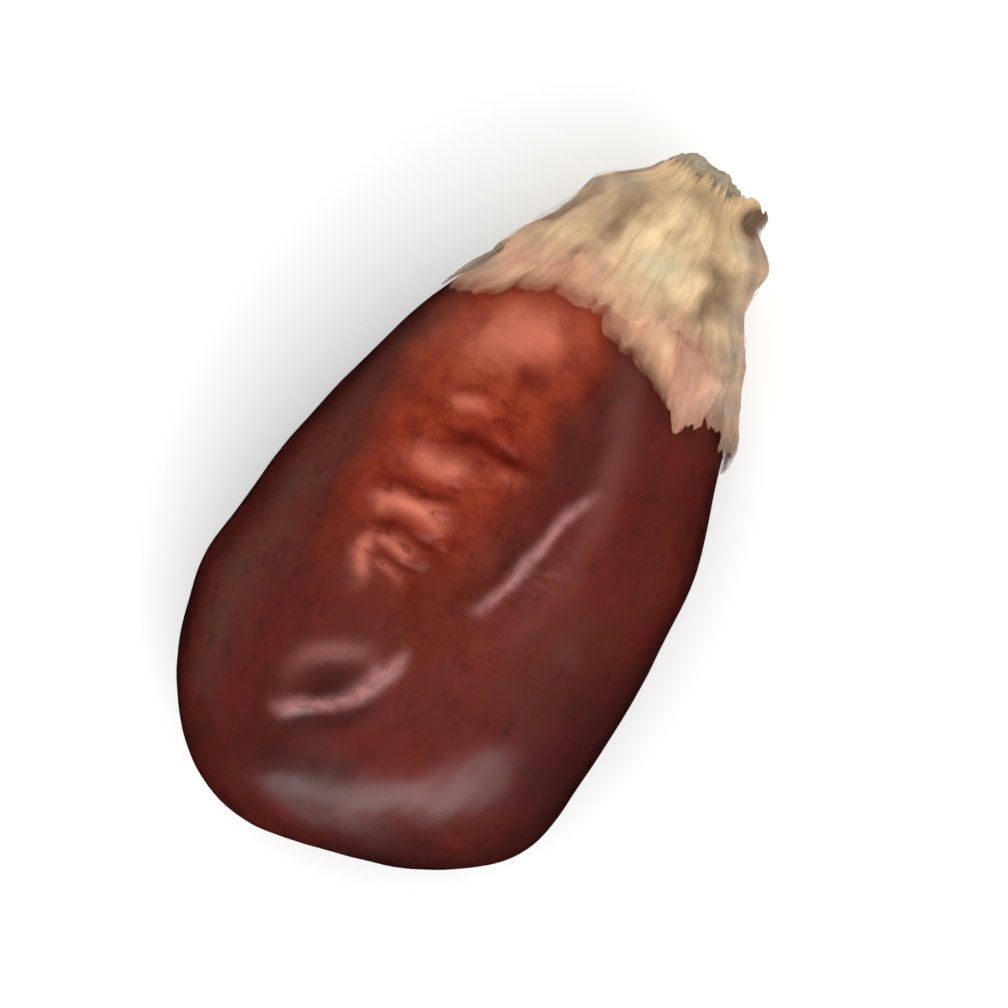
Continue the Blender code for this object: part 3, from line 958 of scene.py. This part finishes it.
def make_chaff():
    cream, tan = (0.700, 0.500, 0.280), (0.470, 0.305, 0.155)
    salmon = (0.540, 0.275, 0.175)
    lower_span, lemma_span = (156.0, 352.0), (-12.0, 68.0)
    palea_span, upper_span = (52.0, 166.0), (22.0, 156.0)
    lower_edge = edge_profile(
        lower_span,
        [(156, 2.25), (170, 2.30), (200, 1.80), (245, 2.10), (290, 1.80), (330, 2.20),
         (352, 2.25)],
    )
    lemma_edge = edge_profile(
        lemma_span,
        [(-12, 2.10), (-4, 2.40), (8, 2.30), (18, 2.15), (28, 2.10), (36, 1.90), (44, 1.95),
         (50, 2.10), (58, 2.30), (64, 2.15), (68, 1.70)],
    )
    palea_edge = edge_profile(
        palea_span,
        [(52, 2.20), (62, 2.15), (70, 1.95), (80, 1.72), (90, 1.60), (103, 1.50), (116, 1.45),
         (130, 1.75), (148, 2.25), (158, 2.45), (166, 2.40)],
    )
    upper_edge = edge_profile(
        upper_span,
        [(22, 1.7), (40, 1.30), (58, 1.10), (75, 1.05), (90, 1.28), (105, 1.02), (118, 0.95),
         (135, 1.2), (156, 1.7)],
    )

    def low_base(across):
        return np.full_like(across, LOW_BASE)

    def upper_base(across):
        scrap = 0.08 * (1.0 - ease(0.14, 0.30, across))
        return 1.34 + scrap - 0.25 * (1.0 - ease(0.0, 0.05, across))

    make_bract(
        "lower_glume", lower_span, lower_edge, low_base, 0.09, 0.04, 100,
        straw_material("lower_glume_chaff", (0.42, 0.335, 0.225), tan, (0.36, 0.285, 0.21), 0.35),
        [(0.22, 0.02, 0.4), (0.55, 0.03, 0.4), (0.81, 0.02, 0.5)],
        {
            "thin": [(-1.70, 4.7, 0.60), (-2.30, 3.2, 0.50), (1.90, 4.0, 0.80), (1.30, 5.3, 0.50),
                     (2.60, 2.7, 0.50)],
        },
    )
    make_bract(
        "lemma", lemma_span, lemma_edge, low_base, 0.09, 0.04, 200,
        straw_material("lemma_chaff", (0.64, 0.420, 0.28), salmon, (0.64, 0.330, 0.225), 0.25),
        [(0.55, 0.04, 0.15)],
        {
            "thin": [(2.55, 2.6, 0.50), (2.15, 3.2, 0.42), (1.85, 3.8, 0.38), (1.60, 4.4, 0.36),
                     (1.50, 5.0, 0.34), (1.25, 5.5, 0.34)],
        },
    )
    make_bract(
        "palea", palea_span, palea_edge, low_base, 0.07, 0.03, 300,
        straw_material("palea_chaff", (0.74, 0.490, 0.31), salmon, (0.68, 0.340, 0.200), 0.0),
        [(0.38, 0.03, 0.15), (0.70, 0.02, 0.2)],
        {"thin": [(-2.35, 3.0, 0.3)]},
    )
    make_bract(
        "upper_glume", upper_span, upper_edge, upper_base, 0.20, 0.03, 400,
        straw_material("upper_glume_chaff", cream, tan, (0.80, 0.510, 0.320), 0.05),
        [(0.28, 0.02, 0.2), (0.66, 0.03, 0.25)],
        {
            "thin": [(-1.20, 5.32, 0.28), (-1.52, 5.05, 0.26), (-1.85, 4.45, 0.22),
                     (1.95, 3.50, 0.34), (1.75, 3.90, 0.34), (1.50, 4.40, 0.30),
                     (1.40, 4.95, 0.30), (1.20, 5.45, 0.28)],
            # Painted shade on the torn scrap.
            "scrap_shade": [(0.92, 5.80, 0.27)],
            # Painted highlight spots.
            "sheen_spot": [(0.10, 4.42, 0.34), (-0.15, 4.38, 0.25), (0.92, 5.36, 0.16)],
            "sunny": [(-0.15, 5.25, 0.40), (0.45, 4.20, 0.16), (-0.35, 4.75, 0.16)],
        },
        scrap_lift=0.50,
    )


# The torn stalk

STALK_COLUMNS, STALK_ROWS = 160, 100
SIDES_SHARE = 0.45
SIDES_LENGTH_SHARE = 0.62
STALK_STARTS_PAST_TIP = 0.03
STALK_OVERLENGTH = 0.06


def stalk_material():
    """Dry grey-tan fibre over a browner pith."""
    material, tree, shader = new_material("stalk")
    fibres = texture(tree, 0.12, (1.0, 0.12, 1.0), 4.0)
    pith = texture(tree, 0.3, detail=4.0)
    dry, tan = (0.350, 0.290, 0.205), (0.260, 0.200, 0.125)
    color = blend_color(tree, remap(tree, fibres, 0.40, 0.70), dry, tan)
    browned = remap(tree, pith, 0.5, 0.8, 0.0, 0.5)
    color = blend_color(tree, browned, color, (0.180, 0.125, 0.075))
    tree.links.new(color, shader.inputs["Base Color"])
    shader.inputs["Roughness"].default_value = 0.85
    add_bumps(tree, shader, [(pith, 0.02), (fibres, 0.02)])
    return material


def make_pedicel():
    """The stub of stalk: fibrous sides that round over to a frayed torn end."""
    start = GRAIN_LENGTH + STALK_STARTS_PAST_TIP
    steps = np.arange(STALK_COLUMNS) / STALK_COLUMNS * TAU
    share, angle = np.meshgrid(np.linspace(0.0, 1.0, STALK_ROWS), steps, indexing="ij")
    turn = np.clip((share - SIDES_SHARE) / (1.0 - SIDES_SHARE), 0.0, ALMOST_ONE)
    size = mix(1.04, 0.96, np.clip(share / SIDES_SHARE, 0.0, 1.0)) * np.sqrt(1.0 - turn**2.2)
    length = PEDICEL_LENGTH + STALK_OVERLENGTH
    sides = share / SIDES_SHARE * SIDES_LENGTH_SHARE
    end = SIDES_LENGTH_SHARE + (1.0 - SIDES_LENGTH_SHARE) * np.sin(turn * TAU / 4.0)
    along = np.where(share < SIDES_SHARE, sides, end)
    x = np.cos(angle) * PEDICEL_WIDTH / 2.0 * size
    z = np.sin(angle) * PEDICEL_THICKNESS / 2.0 * size
    points = np.stack([x, start + along * length, BACK_DEPTH + z], axis=-1) + SHIFT
    normals = grid_normals(points, wrap=True)
    fibres = 0.020 * make_noise(502, 0.30, 2, (1.0, 6.0, 1.0))(points)
    lumps = 0.022 * make_noise(503, 0.55, 2)(points)
    strands = 0.022 * np.abs(make_noise(504, 0.22, 2, (1.0, 2.5, 1.0))(points))
    strands = strands * ease(0.5, 0.8, share)
    swell = (fibres + lumps - strands) * (1.0 - ease(0.97, 1.0, share))
    points = points + normals * swell[..., None]
    points[..., 1] = np.minimum(points[..., 1], pedicel_end)
    foot = np.array([[0.0, start, BACK_DEPTH]]) + SHIFT
    head = points[-1].mean(axis=0, keepdims=True)
    flat, faces = capped_tube(points, foot, head)
    item = new_object("pedicel_stub", flat, faces, stalk_material(), {})
    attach(item, "root")
    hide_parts("pedicel")


make_grain()
make_chaff()
make_pedicel()
